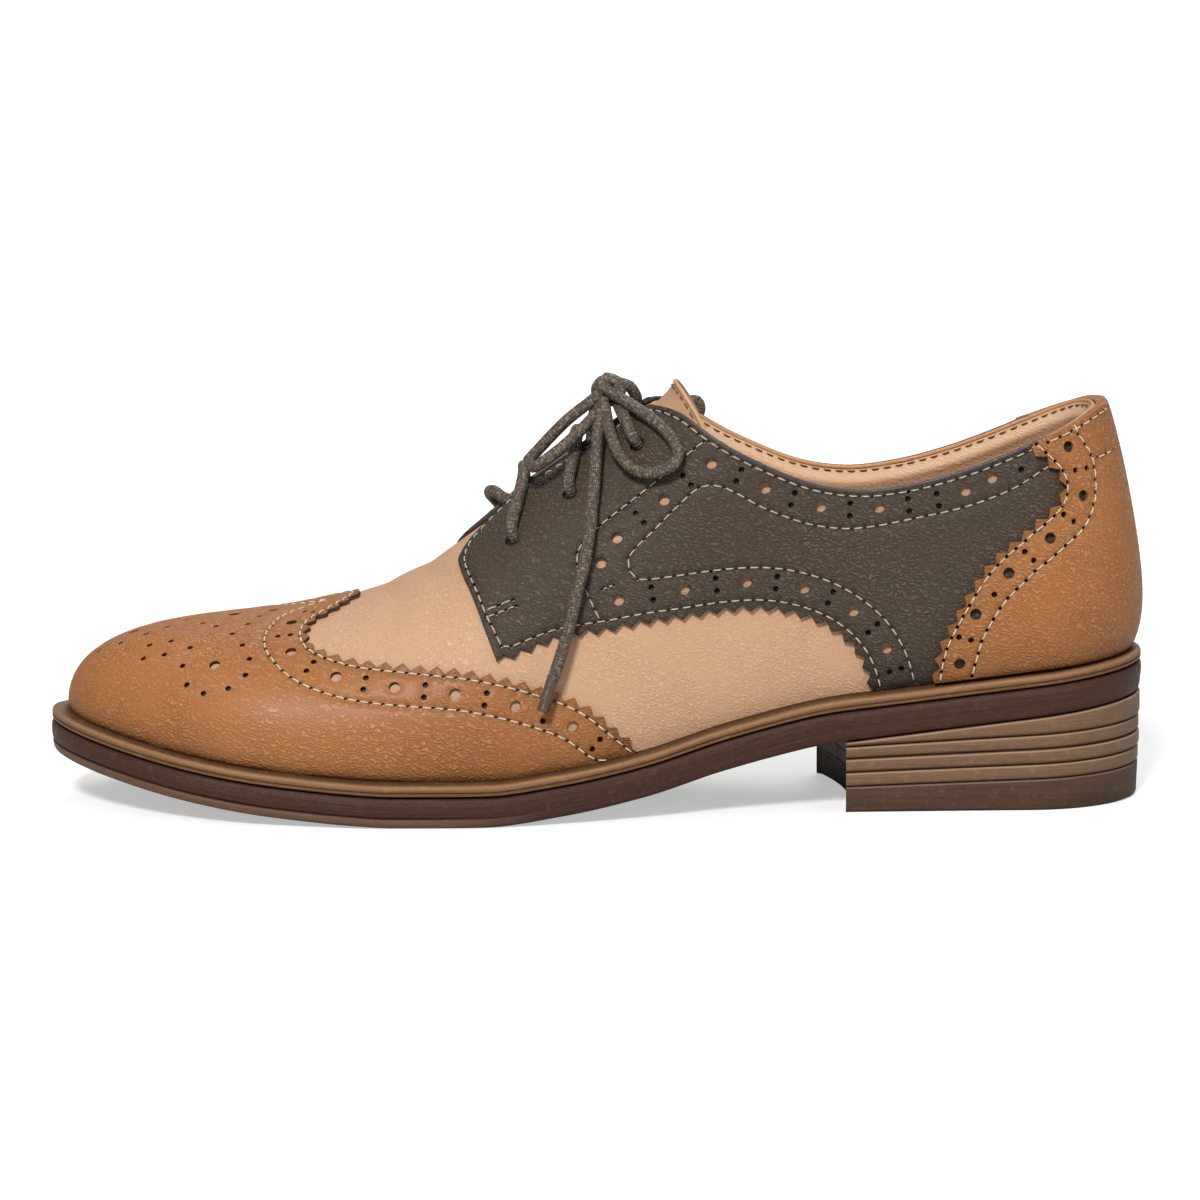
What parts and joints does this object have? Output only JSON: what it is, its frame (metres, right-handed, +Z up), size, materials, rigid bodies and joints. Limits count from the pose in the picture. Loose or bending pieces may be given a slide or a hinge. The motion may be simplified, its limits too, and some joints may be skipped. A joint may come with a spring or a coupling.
{
  "type": "lace-up brogue shoe",
  "caption": "Left lace-up wingtip brogue with saw-tooth leather overlays over a hollow upper, welted sole, low stacked heel, open collar and tied round lace.",
  "frame": {"origin": "on the floor under the middle of the shoe's plan box", "axes": "-X to the toe, +X to the heel, -Y to the lateral side of this left shoe, +Z up"},
  "size_m": [0.2681, 0.0909, 0.1045],
  "materials": {
    "tan_leather": "burnished calf with a soft sheen",
    "pale_leather": "fine pebbled grain, satin",
    "grey_leather": "wrinkled grain, matt",
    "welt_leather": "edge dressed, streaked",
    "sole_leather": "dark edge dressing",
    "heel_leather": "stacked lifts, dark edge dressing",
    "top_piece_rubber": "matt",
    "insole_leather": "smooth, matt",
    "lace_cord": "waxed round braid",
    "lace_tip": "shrunk sleeve"
  },
  "bodies": {
    "root": {"outsole": "sole_leather", "welt": "welt_leather", "heel_stack": "heel_leather", "heel_top_piece": "top_piece_rubber", "insole": "insole_leather", "upper": "pale_leather", "tongue": "pale_leather", "wing_cap": "tan_leather", "heel_counter": "tan_leather", "quarter_lateral": "grey_leather", "quarter_medial": "grey_leather", "lace_bar_1": "lace_cord", "lace_bar_2": "lace_cord", "lace_bar_3": "lace_cord", "lace_knot": "lace_cord", "lace_loop_front": "lace_cord", "lace_loop_back": "lace_cord", "lace_end_lateral": "lace_cord", "lace_end_medial": "lace_cord", "lace_tip_lateral": "lace_tip", "lace_tip_medial": "lace_tip"}
  },
  "joints": []
}
